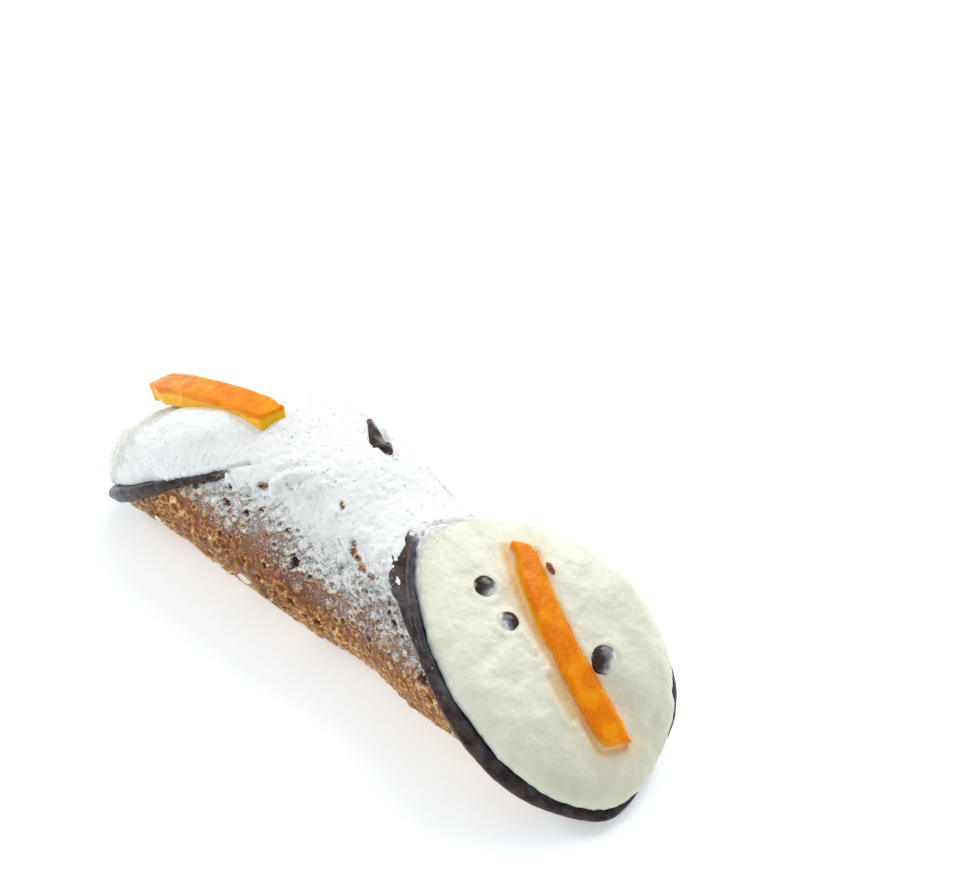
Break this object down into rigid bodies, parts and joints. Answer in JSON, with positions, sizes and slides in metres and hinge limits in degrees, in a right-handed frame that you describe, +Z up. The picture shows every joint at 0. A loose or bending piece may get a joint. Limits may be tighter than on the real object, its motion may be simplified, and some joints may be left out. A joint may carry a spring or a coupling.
{
  "type": "cannolo",
  "caption": "Cannolo: a rolled, fried pastry shell with chocolate-dipped rims, filled with ricotta cream, with a strip of candied orange peel laid on the cream at each end.",
  "frame": {"origin": "middle of the underside of the whole cannolo's box, on the surface that it rests on", "axes": "+X along the roll, towards the wide front opening; +Y across it, to the left of one who looks along +X; +Z up"},
  "size_m": [0.1504, 0.0498, 0.0479],
  "materials": {
    "fried_dough": "crisp blistered fried pastry, satin, brown to golden, under powdered sugar",
    "ricotta_cream": "smooth moist ricotta cream, off-white, low sheen",
    "chocolate": "dark chocolate, satin, with a dull bloom",
    "candied_peel": "candied orange peel, glossy with syrup, paler pith on its cut sides"
  },
  "bodies": {
    "root": {"shell": "fried_dough", "filling": "ricotta_cream", "chocolate_front": "chocolate", "chocolate_back": "chocolate", "peel_front": "candied_peel", "peel_back": "candied_peel"}
  },
  "joints": []
}
